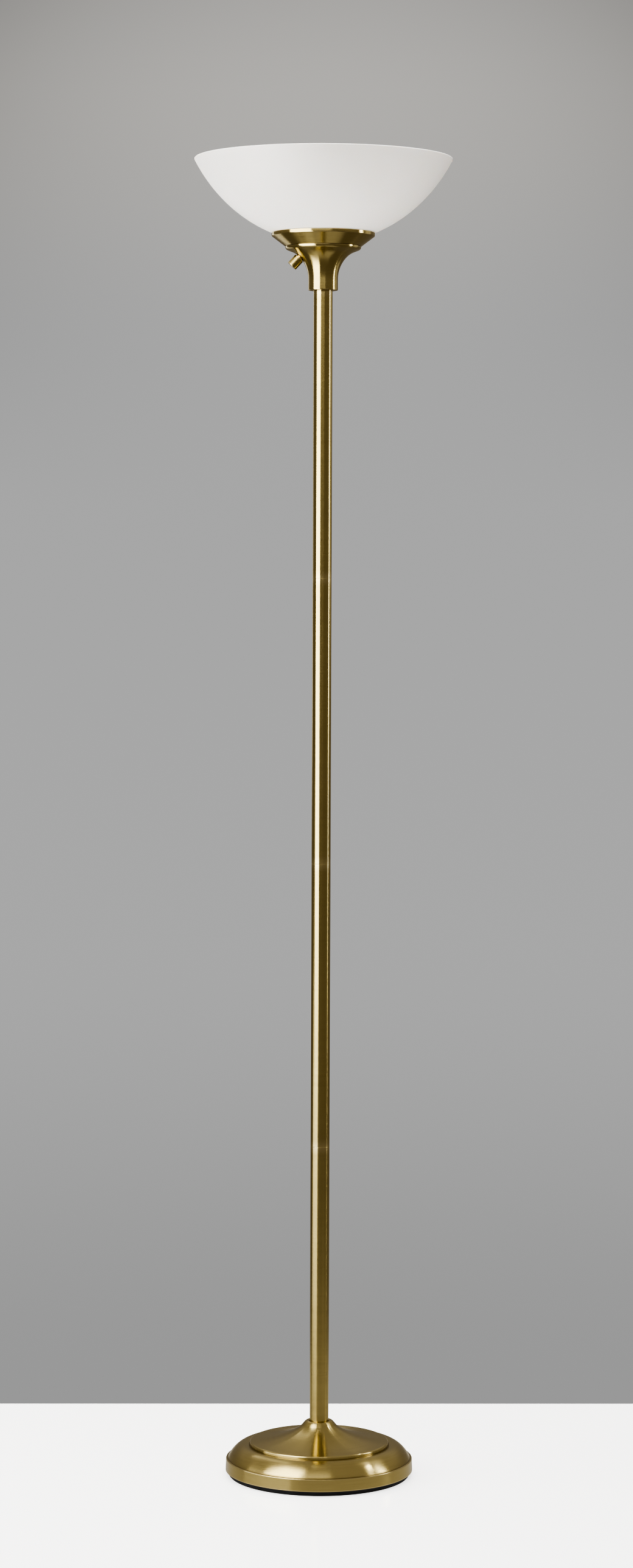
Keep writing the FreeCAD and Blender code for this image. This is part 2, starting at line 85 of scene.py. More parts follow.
SKIRT_RADIUS = 129.0
SKIRT_BOTTOM = 6.9
LEDGE_HEIGHT = 23.6
DOME_FOOT = (125.9, LEDGE_HEIGHT + 0.15)
STEP_RADIUS = 95.9
STEP_FOOT = 41.6
STEP_TOP = 46.9
FLARE_TOP = (22.6, 70.0)
HUB_SHOULDER = 16.2
HUB_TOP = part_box("base_cover")[1].z / MM
HUB_RECESS = 13.4
COVER_WALL = 1.0
COVER_HOLE = 5.6
FOOT_RADIUS = 124.6
FOOT_INNER = 111.0
FOOT_HEIGHT = 7.0
BOARD_RADIUS = 117.0
BOARD_WALL = 1.2

CUP_WALL = 0.9
CUP_HOLE = 5.3
NECK_RADIUS = 20.15
FLARE_RADIUS = 42.6
CUP_RADIUS = 70.05
CUP_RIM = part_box("shade_cup")[1].z / MM
BAND_RADIUS = 51.5

BOWL_HALF_WIDTH = 201.05
BOWL_HALF_HEIGHT = 220.5
BOWL_CENTRE = 1910.2
BOWL_WALL = 4.0
BOWL_RIM = cad_high.z / MM
BOWL_HOLE = 21.2
BOWL_STEPS = 90
RIM_OUTER_DEPTH = 2.0
RIM_INNER_DEPTH = 1.4
RIM_OUTER_PULL = 2.6
RIM_INNER_PULL = 2.0
RIM_HEADROOM = 0.4
RIM_STEPS = 12

KNOB_RADIUS = 7.25
KNOB_LIP = 6.5
KNOB_BORE = 2.04
KNOB_INNER_END = 1.4
KNOB_RECESS = 2.8
KNOB_BORE_END = 12.3
KNOB_FACE = 5.6
KNOB_OUTER_END = 16.0
KNOB_JOINT = next(joint for joint in frame["joints"] if joint["name"] == "knob_turn")


# ---------------------------------------------------------------- outlines and turned meshes

ON_AXIS = 1e-6
SAME_POINT = 1e-4
NEARLY_STRAIGHT = 0.985
CORNER_STEPS = 5
END_SUPPORT = 0.45
BEND_REACH = 0.6
BEND_NEIGHBOURS = 6
SHORTEST_STEP = 0.15
SHARP_ANGLE = math.radians(35)


def bezier(points, count):
    """Points along a Bezier curve, by repeated interpolation."""
    placed = []
    for step in range(count + 1):
        share = step / count
        level = [Vector(point) for point in points]
        while len(level) > 1:
            level = [start.lerp(end, share) for start, end in zip(level, level[1:])]
        placed.append(level[0])
    return placed


def stretch_points(stretch, spacing):
    """A stretch of outline as points: a curve through three or more, or straight between two.

    A straight stretch has an extra point near each end, which keeps its shading flat up to there.
    """
    length = sum((Vector(b) - Vector(a)).length for a, b in zip(stretch, stretch[1:]))
    if len(stretch) > 2:
        return bezier(stretch, max(6, round(length / spacing)))
    points = bezier(stretch, max(1, round(length / spacing)))
    if length > 4 * END_SUPPORT:
        share = END_SUPPORT / length
        start, end = points[0], points[-1]
        points[1:1] = [start.lerp(end, share)]
        points[-1:-1] = [end.lerp(start, share)]
    return points


def shortened(points, trim, at_end):
    """The points with a length trimmed off one end."""
    run = list(points) if at_end else list(reversed(points))
    while len(run) > 2 and (run[-1] - run[-2]).length <= trim:
        trim -= (run[-1] - run[-2]).length
        run.pop()
    step = run[-1] - run[-2]
    run[-1] = run[-1] - step.normalized() * min(trim, step.length * 0.5)
    return run if at_end else list(reversed(run))


def outline(stretches, spacing=1.5, corner=0.25):
    """A closed outline from stretches, with each sharp corner rounded over."""
    runs = [stretch_points(stretch, spacing) for stretch in stretches]
    count = len(runs)
    for index in range(count):
        after = (index + 1) % count
        arriving = (runs[index][-1] - runs[index][-2]).normalized()
        leaving = (runs[after][1] - runs[after][0]).normalized()
        if runs[index][-1].x < ON_AXIS or arriving.dot(leaving) > NEARLY_STRAIGHT:
            continue
        tip = runs[index][-1].copy()
        runs[index] = shortened(runs[index], corner, True)
        runs[after] = shortened(runs[after], corner, False)
        rounding = bezier([runs[index][-1], tip, runs[after][0]], CORNER_STEPS)
        runs[index] = runs[index] + rounding[1:]
    points = []
    for run in runs:
        for point in run:
            if not points or (point - points[-1]).length > SAME_POINT:
                points.append(point)
    if (points[0] - points[-1]).length < SAME_POINT:
        points.pop()
    return points


def shifted(points, distance):
    """A path of control points moved to its left, with its corners mitred."""
    moved = []
    for index, point in enumerate(points):
        normals = []
        for start, end in ((index - 1, index), (index, index + 1)):
            if start >= 0 and end < len(points):
                run = (Vector(points[end]) - Vector(points[start])).normalized()
                normals.append(Vector((-run.y, run.x)))
        total = sum(normals, Vector((0, 0)))
        moved.append(Vector(point) + total * (distance * len(normals) / total.length_squared))
    return moved


def sheet_outline(stretches, thickness):
    """Outline of a spun sheet: its show face is the stretches, its back lies to their left."""
    path = list(stretches[0])
    for stretch in stretches[1:]:
        path.extend(stretch[1:])
    back_path = shifted(path, thickness)
    back = []
    start = 0
    for stretch in stretches:
        back.append(back_path[start:start + len(stretch)])
        start += len(stretch) - 1
    back_stretches = [list(reversed(stretch)) for stretch in reversed(back)]
    first_end = [path[-1], back_path[-1]]
    last_end = [back_path[0], path[0]]
    return outline([*stretches, first_end, *back_stretches, last_end])


def runs_anticlockwise(points):
    """Whether a closed outline goes round its own area anticlockwise."""
    pairs = zip(points[-1:] + points[:-1], points)
    return sum(before.x * point.y - point.x * before.y for before, point in pairs) > 0


def bend_values(points):
    """How sharply a closed outline turns at each point, smoothed: positive on outer corners."""
    count = len(points)
    facing = 1 if runs_anticlockwise(points) else -1
    raw = []
    for index in range(count):
        before = points[index] - points[index - 1]
        after = points[(index + 1) % count] - points[index]
        angle = before.angle_signed(after, 0)
        raw.append(-facing * angle / max(SHORTEST_STEP, (before.length + after.length) / 2))
    smooth = []
    for index in range(count):
        total = 0
        weight = 0
        for offset in range(-BEND_NEIGHBOURS, BEND_NEIGHBOURS + 1):
            other = (index + offset) % count
            gap = (points[other] - points[index]).length
            share = math.exp(-(gap / BEND_REACH) ** 2)
            total += share * raw[other]
            weight += share
        smooth.append(total / weight)
    return smooth


def turned(name, points, segments):
    """A solid turned round the Z axis from a closed outline in millimetres."""
    mesh = bpy.data.meshes.new(name)
    vertices = []
    bends = []
    rings = []
    for point, bend in zip(points, bend_values(points)):
        around = 1 if point.x < ON_AXIS else segments
        rings.append([len(vertices) + step % around for step in range(segments)])
        for step in range(around):
            angle = 2 * math.pi * step / segments
            vertices.append((point.x * math.cos(angle) * MM, point.x * math.sin(angle) * MM,
                             point.y * MM))
            bends.append(bend)
    faces = []
    for ring, following in zip(rings, rings[1:] + rings[:1]):
        for step in range(segments):
            after = (step + 1) % segments
            corners = [ring[step], ring[after], following[after], following[step]]
            distinct = list(dict.fromkeys(corners))
            if len(distinct) > 2:
                faces.append(distinct)
    mesh.from_pydata(vertices, [], faces)
    bend_layer = mesh.attributes.new("bend", "FLOAT", "POINT")
    bend_layer.data.foreach_set("value", bends)
    mesh.update()
    mesh.polygons.foreach_set("use_smooth", [True] * len(mesh.polygons))
    piece = bpy.data.objects.new(name, mesh)
    bpy.context.scene.collection.objects.link(piece)
    if not runs_anticlockwise(points):
        mesh.flip_normals()
    mesh.set_sharp_from_angle(angle=SHARP_ANGLE)
    return piece


def finish_piece(piece, body, nodes, material):
    """Give a new piece its material, body, slot and the CAD nodes that it stands for."""
    piece.data.materials.append(material)
    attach(piece, body)
    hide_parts(*nodes)


# ---------------------------------------------------------------- camera

CAMERA_DISTANCE = 4.92
CAMERA_HEIGHT = 1.236
CAMERA_PITCH = math.radians(3.271)
CAMERA_YAW = math.radians(0.077)
CAMERA_ROLL = math.radians(0.2)
FOCAL_LENGTH = 82.747
SENSOR = 36.0


def make_camera():
    """Camera in front of the lamp, a little above its middle and looking slightly down."""
    data = bpy.data.cameras.new("camera")
    data.sensor_width = SENSOR
    data.lens = FOCAL_LENGTH
    camera = bpy.data.objects.new("camera", data)
    bpy.context.scene.collection.objects.link(camera)
    aim = Matrix.Rotation(CAMERA_YAW, 4, "Z") @ Matrix.Rotation(math.pi / 2 - CAMERA_PITCH, 4, "X")
    roll = Matrix.Rotation(CAMERA_ROLL, 4, "Z")
    place = Matrix.Translation((0, -CAMERA_DISTANCE, CAMERA_HEIGHT))
    camera.matrix_world = place @ aim @ roll
    bpy.context.scene.camera = camera


# ---------------------------------------------------------------- light

def add_area_light(name, width, height, radiance, glossy, diffuse):
    """A rectangular light, hidden from the camera, set by how bright its own surface is."""
    data = bpy.data.lights.new(name, "AREA")
    data.shape = "RECTANGLE"
    data.size = width
    data.size_y = height
    data.energy = radiance * math.pi * width * height
    light = bpy.data.objects.new(name, data)
    bpy.context.scene.collection.objects.link(light)
    light.visible_camera = False
    light.visible_glossy = glossy
    light.visible_diffuse = diffuse
    return light


def make_light(name, azimuth, distance, low, high, width, radiance, glossy=True, diffuse=True):
    """An upright softbox that faces the pole; azimuth 0 is at the camera, positive to its right."""
    light = add_area_light(name, width, high - low, radiance, glossy, diffuse)
    angle = math.radians(azimuth)
    place = Vector((math.sin(angle) * distance, -math.cos(angle) * distance, (low + high) / 2))
    inward = Vector((-place.x, -place.y, 0)).to_track_quat("-Z", "Y")
    light.matrix_world = Matrix.Translation(place) @ inward.to_matrix().to_4x4()


def make_panel(name, size, height, radiance, facing_up=False, glossy=True, diffuse=True):
    """A level square panel, centred on the pole."""
    light = add_area_light(name, size, size, radiance, glossy, diffuse)
    light.location.z = height
    light.rotation_euler.x = math.pi if facing_up else 0


def light_studio():
    """Softboxes for the bands on the brass, and plain sources for the soft light on the rest."""
    # name, azimuth, distance, lower edge, upper edge, width, brightness
    make_light("left_softbox", -52, 1.0, 0.55, 2.2, 0.95, 4.0, diffuse=False)
    make_light("left_low", -66, 1.0, 0.0, 0.55, 1.3, 1.3, diffuse=False)
    make_light("high_front", -4, 2.2, 2.1, 3.2, 1.8, 1.1, diffuse=False)
    make_light("right_strip", 93.5, 3.0, 0.8, 2.6, 0.42, 6.0, diffuse=False)
    make_light("right_spot", 93, 3.0, 3.35, 3.6, 0.08, 240.0, diffuse=False)
    make_light("right_card", 118, 1.2, 1.1, 2.3, 0.5, 0.3, diffuse=False)
    make_light("back_strip", -150, 1.2, 0.9, 2.3, 0.25, 0.9, diffuse=False)
    make_light("key", -82, 1.7, 0.6, 2.4, 1.2, 3.6, glossy=False)
    make_panel("overhead", 3.0, 3.6, 4.0, glossy=False)
    make_panel("table_glow", 1.3, 0.002, 0.3, facing_up=True, diffuse=False)


# ---------------------------------------------------------------- node trees

class Nodes:
    """Short calls for building one node tree."""

    def __init__(self, owner):
        owner.use_nodes = True
        self.owner = owner
        self.tree = owner.node_tree

    def add(self, kind, **settings):
        """A new node of this kind, with its own settings."""
        node = self.tree.nodes.new("ShaderNode" + kind)
        for key, value in settings.items():
            setattr(node, key, value)
        return node

    def put(self, target, value):
        """Link an output to a socket, or set the socket's own value."""
        if isinstance(value, bpy.types.NodeSocket):
            self.tree.links.new(value, target)
        elif isinstance(value, (tuple, list)) and len(value) == 3 and len(target.default_value) == 4:
            target.default_value = (*value, 1)
        else:
            target.default_value = value

    def math(self, operation, *values):
        """One sum on numbers or sockets."""
        node = self.add("Math", operation=operation)
        for socket, value in zip(node.inputs, values):
            self.put(socket, value)
        return node.outputs[0]

    def noise(self, vector, scale, detail, roughness, w=None):
        """Random clouds from 0 to 1, in four dimensions if w is given."""
        node = self.add("TexNoise", noise_dimensions="3D" if w is None else "4D")
        self.put(node.inputs["Vector"], vector)
        self.put(node.inputs["Scale"], scale)
        self.put(node.inputs["Detail"], detail)
        self.put(node.inputs["Roughness"], roughness)
        if w is not None:
            self.put(node.inputs["W"], w)
        return node.outputs["Fac"]

    def spread(self, value, low, high, new_low, new_high):
        """Map a value from one range to another, held at both ends."""
        node = self.add("MapRange")
        for name, item in (("Value", value), ("From Min", low), ("From Max", high),
                           ("To Min", new_low), ("To Max", new_high)):
            self.put(node.inputs[name], item)
        return node.outputs["Result"]

    def blend(self, share, first, second):
        """A mix of two colours; the node repeats socket names, so these three go by number."""
        node = self.add("Mix", data_type="RGBA")
        self.put(node.inputs["Factor"], share)
        self.put(node.inputs[6], first)
        self.put(node.inputs[7], second)
        return node.outputs[2]

    def bump(self, height, distance, strength, under=None):
        """Relief from a height pattern, on top of any relief underneath."""
        node = self.add("Bump")
        self.put(node.inputs["Height"], height)
        self.put(node.inputs["Distance"], distance)
        self.put(node.inputs["Strength"], strength)
        if under is not None:
            self.put(node.inputs["Normal"], under)
        return node.outputs["Normal"]

    def stretched(self, vector, scale, rotation=(0, 0, 0)):
        """A point turned and stretched, for a pattern that runs one way."""
        node = self.add("Mapping")
        self.put(node.inputs["Vector"], vector)
        self.put(node.inputs["Rotation"], rotation)
        self.put(node.inputs["Scale"], scale)
        return node.outputs[0]

    def place(self):
        """The point on the piece, in metres, riding with it."""
        return self.add("TexCoord").outputs["Object"]

    def set(self, **values):
        """Fill in the material's shader and hand the material over."""
        shader = self.tree.nodes["Principled BSDF"]
        for key, value in values.items():
            self.put(shader.inputs[key.replace("_", " ")], value)
        return self.owner


def material_nodes(name):
    """The node tree of a new material."""
    return Nodes(bpy.data.materials.new(name))


# Studio brightness by height: (share of the way from straight down to straight up, colour).
# The warm tone at 0.565 is a painted glow from the lamp on the wall above the bowl.
WALL_TONES = ((0.39, (0.275, 0.275, 0.275)), (0.45, (0.335, 0.335, 0.335)),
              (0.53, (0.33, 0.33, 0.33)), (0.565, (0.375, 0.366, 0.352)),
              (0.59, (0.31, 0.303, 0.293)))
ROOM_TONES = ((0.4, (0.17, 0.15, 0.12)), (0.6, (0.235, 0.212, 0.18)), (0.74, (0.37, 0.345, 0.31)))

# The wall darkens upwards from CORNER_START, the more so the further the view looks to a side.
CORNER_REACH = 0.0105
CORNER_START = 0.51
CORNER_SHADE = 435.0
MOST_SHADE = 0.35


def backdrop(n, height, tones, strength=1.0):
    """A background whose colour depends only on how far up the view looks."""
    ramp = n.add("ValToRGB")
    ramp.color_ramp.interpolation = "EASE"
    elements = ramp.color_ramp.elements
    while len(elements) < len(tones):
        elements.new(0.5)
    for element, (position, colour) in zip(elements, tones):
        element.position = position
        element.color = (*colour, 1)
    background = n.add("Background")
    n.put(ramp.inputs["Fac"], height)
    n.put(background.inputs["Color"], ramp.outputs["Color"])
    n.put(background.inputs["Strength"], strength)
    return background.outputs[0]


def make_world():
    """Grey wall, darker in its top corners, for the view; a dim warm room for the reflections."""
    world = bpy.data.worlds.new("studio")
    bpy.context.scene.world = world
    n = Nodes(world)
    n.tree.nodes.clear()
    parts = n.add("SeparateXYZ")
    n.put(parts.inputs[0], n.add("TexCoord").outputs["Generated"])
    height = n.math("MULTIPLY_ADD", parts.outputs["Z"], 0.5, 0.5)
    across = parts.outputs["X"]
    aside = n.math("MINIMUM", n.math("MULTIPLY", across, across), CORNER_REACH)
    above = n.math("MAXIMUM", n.math("SUBTRACT", height, CORNER_START), 0.0)
    shade = n.math("MULTIPLY", n.math("MULTIPLY", aside, above), CORNER_SHADE)
    strength = n.math("SUBTRACT", 1.0, n.math("MINIMUM", shade, MOST_SHADE))
    mix = n.add("MixShader")
    n.put(mix.inputs["Fac"], n.add("LightPath").outputs["Is Camera Ray"])
    n.put(mix.inputs[1], backdrop(n, height, ROOM_TONES))
    n.put(mix.inputs[2], backdrop(n, height, WALL_TONES, strength))
    n.put(n.add("OutputWorld").inputs["Surface"], mix.outputs["Shader"])


# ---------------------------------------------------------------- floor

FLOOR_BACK = 0.422
FLOOR_FRONT = -6.0
FLOOR_HALF_WIDTH = 3.0
FLOOR_TURN = math.radians(0.9)


def make_floor():
    """Pale glossy floor that ends behind the lamp."""
    mesh = bpy.data.meshes.new("floor")
    corners = [(-FLOOR_HALF_WIDTH, FLOOR_FRONT, 0), (FLOOR_HALF_WIDTH, FLOOR_FRONT, 0),
               (FLOOR_HALF_WIDTH, FLOOR_BACK, 0), (-FLOOR_HALF_WIDTH, FLOOR_BACK, 0)]
    mesh.from_pydata(corners, [], [(0, 1, 2, 3)])
    floor = bpy.data.objects.new("floor", mesh)
    bpy.context.scene.collection.objects.link(floor)
    floor.rotation_euler.z = FLOOR_TURN
    mesh.materials.append(material_nodes("floor").set(
        Base_Color=(0.8, 0.8, 0.8), Roughness=0.13, IOR=1.3,
        Emission_Color=(1.0, 1.0, 1.0), Emission_Strength=0.9))
    floor.visible_glossy = False


# ---------------------------------------------------------------- materials

STREAKS_PER_METRE = 20.0


def lathe_grain(n, point, fineness):
    """Fine lines that run round the Z axis, as a polishing wheel leaves them.

    Fineness is in lines per metre across the grain; along it, each line fades over some 50 mm.
    """
    parts = n.add("SeparateXYZ")
    n.put(parts.inputs[0], point)
    across = n.math("POWER", parts.outputs["X"], 2.0)
    away = n.math("POWER", parts.outputs["Y"], 2.0)
    radius = n.math("SQRT", n.math("ADD", across, away))
    join = n.add("CombineXYZ")
    n.put(join.inputs["X"], n.math("MULTIPLY", radius, fineness))
    n.put(join.inputs["Y"], n.math("MULTIPLY", parts.outputs["Z"], fineness))
    n.put(join.inputs["Z"], n.math("MULTIPLY", parts.outputs["X"], STREAKS_PER_METRE))
    along = n.math("MULTIPLY", parts.outputs["Y"], STREAKS_PER_METRE)
    return n.noise(join.outputs[0], 1.0, 1.5, 0.5, w=along)


def antique_brass():
    """Brushed, lacquered antique brass: painted shade in concave creases, pale worn edges that also
    paint a highlight.
    """
    n = material_nodes("antique_brass")
    point = n.place()
    grain = lathe_grain(n, point, 2600.0)
    bands = lathe_grain(n, point, 420.0)
    cloud = n.noise(point, 14.0, 4.0, 0.6)
    bend = n.add("Attribute", attribute_name="bend").outputs["Fac"]
    wear_and_edge_glint = n.spread(bend, 0.12, 0.9, 0.0, 1.0)
    crease_shade = n.spread(bend, -0.9, -0.15, 1.0, 0.0)
    broad = n.spread(cloud, 0.3, 0.7, 0.0, 1.0)
    colour = n.blend(broad, (0.49, 0.405, 0.185), (0.53, 0.44, 0.205))
    colour = n.blend(n.spread(bands, 0.35, 0.65, 0.0, 0.28), colour, (0.44, 0.355, 0.155))
    colour = n.blend(n.spread(grain, 0.3, 0.7, 0.0, 0.2), colour, (0.6, 0.51, 0.26))
    # Outer edges paler: worn brass, and also a painted highlight along each rounding.
    colour = n.blend(n.math("MULTIPLY", wear_and_edge_glint, 0.6), colour, (0.72, 0.62, 0.36))
    # Concave creases darker: painted shade.
    colour = n.blend(n.math("MULTIPLY", crease_shade, 0.5), colour, (0.16, 0.105, 0.03))
    rough = n.spread(grain, 0.25, 0.75, 0.19, 0.21)
    rough = n.math("ADD", rough, n.spread(cloud, 0.3, 0.7, 0.0, 0.015))
    rough = n.math("ADD", rough, n.math("MULTIPLY", crease_shade, 0.12))
    normal = n.bump(bands, 0.00002, 0.3, n.bump(grain, 0.00006, 0.8))
    tangent = n.add("Tangent", direction_type="RADIAL", axis="Z").outputs["Tangent"]
    return n.set(Base_Color=colour, Metallic=1.0, Roughness=rough, Normal=normal, Tangent=tangent,
                 Anisotropic=0.98, Anisotropic_Rotation=0.25)


def opal_glass():
    """Blown opal glass: milky, satin outside, with faint clouds in the white."""
    n = material_nodes("opal_glass")
    point = n.place()
    cloud = n.noise(point, 9.0, 3.0, 0.5)
    broad = n.spread(cloud, 0.3, 0.7, 0.0, 1.0)
    colour = n.blend(broad, (0.80, 0.79, 0.765), (0.83, 0.82, 0.80))
    ripple = n.noise(point, 30.0, 2.0, 0.5)
    rough = n.spread(ripple, 0.3, 0.7, 0.42, 0.5)
    return n.set(Base_Color=colour, Roughness=rough, Normal=n.bump(ripple, 0.0004, 0.3), IOR=1.5,
                 Subsurface_Weight=0.4, Subsurface_Scale=0.004, Subsurface_Radius=(1.0, 0.85, 0.7))


def moulded(name, dark, pale, rough, grain_scale, grain_depth, **settings):
    """A moulded or cast surface: clouds in the colour, a fine grain in the sheen and the relief."""
    n = material_nodes(name)
    point = n.place()
    cloud = n.noise(point, 55.0, 4.0, 0.55)
    grain = n.noise(point, grain_scale, 3.0, 0.6)
    mixed = n.math("ADD", n.math("MULTIPLY", cloud, 0.6), n.math("MULTIPLY", grain, 0.4))
    return n.set(Base_Color=n.blend(n.spread(mixed, 0.35, 0.65, 0.0, 1.0), dark, pale),
                 Roughness=n.spread(grain, 0.3, 0.7, *rough),
                 Normal=n.bump(grain, grain_depth, 0.6), **settings)


def black_rubber():
    """Satin moulded rubber of the foot ring and the bushing."""
    return moulded("black_rubber", (0.011, 0.011, 0.012), (0.026, 0.026, 0.028),
                   rough=(0.36, 0.52), grain_scale=900.0, grain_depth=0.00008)


def cast_iron():
    """Sand-cast weight under a thin coat of black paint."""
    return moulded("cast_iron", (0.018, 0.018, 0.018), (0.05, 0.048, 0.045),
                   rough=(0.5, 0.75), grain_scale=420.0, grain_depth=0.0004)


def black_moulding():
    """Shiny black plastic of the lampholder and the switch."""
    return moulded("black_moulding", (0.018, 0.018, 0.019), (0.034, 0.034, 0.036),
                   rough=(0.2, 0.32), grain_scale=1500.0, grain_depth=0.00002)


def white_moulding():
    """White plastic of the bulb's housing."""
    return moulded("white_moulding", (0.78, 0.77, 0.73), (0.84, 0.83, 0.8),
                   rough=(0.34, 0.46), grain_scale=1200.0, grain_depth=0.00002)


def soft_washer():
    """Milky silicone of the gasket under the bowl."""
    return moulded("soft_washer", (0.66, 0.65, 0.6), (0.76, 0.75, 0.71),
                   rough=(0.38, 0.5), grain_scale=800.0, grain_depth=0.00003,
                   Subsurface_Weight=0.3, Subsurface_Scale=0.002)


def bulb_diffuser():
    """Frosted white globe of the bulb."""
    return moulded("bulb_diffuser", (0.88, 0.865, 0.82), (0.93, 0.92, 0.88),
                   rough=(0.32, 0.42), grain_scale=1300.0, grain_depth=0.00001,
                   Subsurface_Weight=0.5, Subsurface_Scale=0.003)


def jacket(name, dark, pale):
    """Extruded insulation: a dull skin with faint ripples."""
    return moulded(name, dark, pale, rough=(0.4, 0.55), grain_scale=1100.0, grain_depth=0.00003)


def black_fibre():
    """Pressed fibre board: short crossed fibres in the surface."""
    n = material_nodes("black_fibre")
    point = n.place()
    straight = n.noise(n.stretched(point, (1.0, 7.0, 1.0)), 160.0, 4.0, 0.7)
    crossed = n.noise(n.stretched(point, (1.0, 6.0, 1.0), (0, 0, math.radians(68))), 190.0, 4.0, 0.7)
    fibres = n.math("MAXIMUM", straight, crossed)
    share = n.spread(fibres, 0.45, 0.75, 0.0, 1.0)
    return n.set(Base_Color=n.blend(share, (0.022, 0.021, 0.02), (0.075, 0.07, 0.064)),
                 Roughness=n.spread(fibres, 0.45, 0.75, 0.78, 0.95),
                 Normal=n.bump(fibres, 0.00025, 0.7))


def worked_metal(name, dull, bright, rough, patch_scale):
    """Plated or machined metal: patches of tone, fine scratches and a varied sheen."""
    n = material_nodes(name)
    point = n.place()
    patches = n.noise(point, patch_scale, 4.0, 0.6)
    scratches = n.noise(n.stretched(point, (1.0, 1.0, 14.0), (0.3, 0.5, 0.2)), 500.0, 3.0, 0.7)
    sheen = n.math("ADD", n.spread(scratches, 0.3, 0.7, *rough),
                   n.spread(patches, 0.3, 0.7, 0.0, 0.06))
    return n.set(Base_Color=n.blend(n.spread(patches, 0.35, 0.65, 0.0, 1.0), dull, bright),
                 Metallic=1.0, Roughness=sheen, Normal=n.bump(scratches, 0.00002, 0.6))


def zinc_steel():
    """Zinc-plated steel of the pipes, nuts, washers and screws."""
    return worked_metal("zinc_steel", (0.5, 0.5, 0.47), (0.66, 0.67, 0.66),
                        rough=(0.26, 0.38), patch_scale=240.0)


def plain_brass():
    """Uncoated brass of the contacts and the screw shell."""
    return worked_metal("plain_brass", (0.62, 0.48, 0.22), (0.74, 0.59, 0.31),
                        rough=(0.2, 0.32), patch_scale=160.0)


def cap_metal():
    """Pale metal of the bulb's screw cap."""
    return worked_metal("cap_metal", (0.66, 0.65, 0.62), (0.8, 0.79, 0.77),
                        rough=(0.2, 0.34), patch_scale=200.0)


def make_materials():
    """One finished material for each of the record's slots."""
    return {
        "antique_brass": antique_brass(), "opal_glass": opal_glass(), "black_rubber": black_rubber(),
        "black_fibre": black_fibre(), "cast_iron": cast_iron(), "zinc_steel": zinc_steel(),
        "plain_brass": plain_brass(), "black_moulding": black_moulding(),
        "white_moulding": white_moulding(), "soft_washer": soft_washer(),
        "lead_insulation": jacket("lead_insulation", (0.016, 0.016, 0.016), (0.03, 0.03, 0.03)),
        "wire_insulation": jacket("wire_insulation", (0.6, 0.6, 0.57), (0.7, 0.7, 0.68)),
        "cap_metal": cap_metal(), "bulb_diffuser": bulb_diffuser(),
    }


def paint_nodes(materials):
    """Give every CAD node the finish of its own slot."""
    for row in frame["record"]["subparts"]:
        node = bpy.data.objects[row["node"]]
        for holder in node.material_slots:
            holder.material = materials[row["material_slot"]]


# ---------------------------------------------------------------- pieces

def base_cover(material):
    """Spun base: skirt, ledge, dome, step, flare and hub."""
    skirt_top = LEDGE_HEIGHT - 1.1
    stretches = [
        [(SKIRT_RADIUS, SKIRT_BOTTOM), (SKIRT_RADIUS - 0.65, skirt_top)],
        [(SKIRT_RADIUS - 0.65, skirt_top), (SKIRT_RADIUS - 0.7, LEDGE_HEIGHT),
         (SKIRT_RADIUS - 1.9, LEDGE_HEIGHT)],
        [(SKIRT_RADIUS - 1.9, LEDGE_HEIGHT), DOME_FOOT],
        [DOME_FOOT, (112.0, 46.8), (99.0, 42.2), (STEP_RADIUS, STEP_FOOT)],
        [(STEP_RADIUS, STEP_FOOT), (STEP_RADIUS - 0.3, STEP_FOOT + 2.8)],
        [(STEP_RADIUS - 0.3, STEP_FOOT + 2.8), (STEP_RADIUS - 0.5, STEP_TOP - 0.1),
         (STEP_RADIUS - 2.9, STEP_TOP)],
        [(STEP_RADIUS - 2.9, STEP_TOP), (62.0, 48.8), (31.5, 58.6), FLARE_TOP],
        [FLARE_TOP, (19.9, 73.4), (18.4, HUB_TOP), (HUB_SHOULDER, HUB_TOP)],
        [(HUB_SHOULDER, HUB_TOP), (HUB_RECESS, HUB_TOP), (HUB_RECESS, HUB_TOP - 1.9)],
        [(HUB_RECESS, HUB_TOP - 1.9), (HUB_RECESS, POLE_FOOT)],
        [(HUB_RECESS, POLE_FOOT), (COVER_HOLE, POLE_FOOT)],
    ]
    piece = turned("spun_base", sheet_outline(stretches, COVER_WALL), 288)
    finish_piece(piece, "root", ["base_cover"], material)


def foot_ring(material):
    """Moulded ring that the lamp stands on."""
    rebate = FOOT_HEIGHT - BOARD_WALL
    corners = [(FOOT_INNER, 1.0), (FOOT_INNER + 1.0, 0), (FOOT_RADIUS - 1.2, 0), (FOOT_RADIUS, 1.2),
               (FOOT_RADIUS, 3.0), (FOOT_RADIUS - 0.35, 3.2), (FOOT_RADIUS - 0.35, 3.6),
               (FOOT_RADIUS, 3.8), (FOOT_RADIUS, FOOT_HEIGHT), (BOARD_RADIUS + 0.3, FOOT_HEIGHT),
               (BOARD_RADIUS + 0.3, rebate), (FOOT_INNER, rebate)]
    stretches = [list(pair) for pair in zip(corners, corners[1:] + corners[:1])]
    piece = turned("moulded_foot", outline(stretches, 4.0, 0.15), 192)
    finish_piece(piece, "root", ["foot_ring"], material)


def pole_tubes(material):
    """Four tubes whose rolled-over ends leave a fine dark line at each joint."""
    inner = TUBE_RADIUS - TUBE_WALL
    shoulder = TUBE_RADIUS - JOINT_BEVEL
    for index, node in enumerate(TUBE_NODES):
        bottom = POLE_FOOT + index * TUBE_LENGTH
        top = bottom + TUBE_LENGTH
        stretches = [
            [(inner, bottom), (shoulder, bottom)],
            [(shoulder, bottom), (TUBE_RADIUS, bottom), (TUBE_RADIUS, bottom + JOINT_BEVEL)],
            [(TUBE_RADIUS, bottom + JOINT_BEVEL), (TUBE_RADIUS, top - JOINT_BEVEL)],
            [(TUBE_RADIUS, top - JOINT_BEVEL), (TUBE_RADIUS, top), (shoulder, top)],
            [(shoulder, top), (inner, top)],
            [(inner, top), (inner, bottom)],
        ]
        piece = turned(f"brass_tube_{index + 1}", outline(stretches, 12.0, 0.08), 96)
        finish_piece(piece, "root", [node], material)


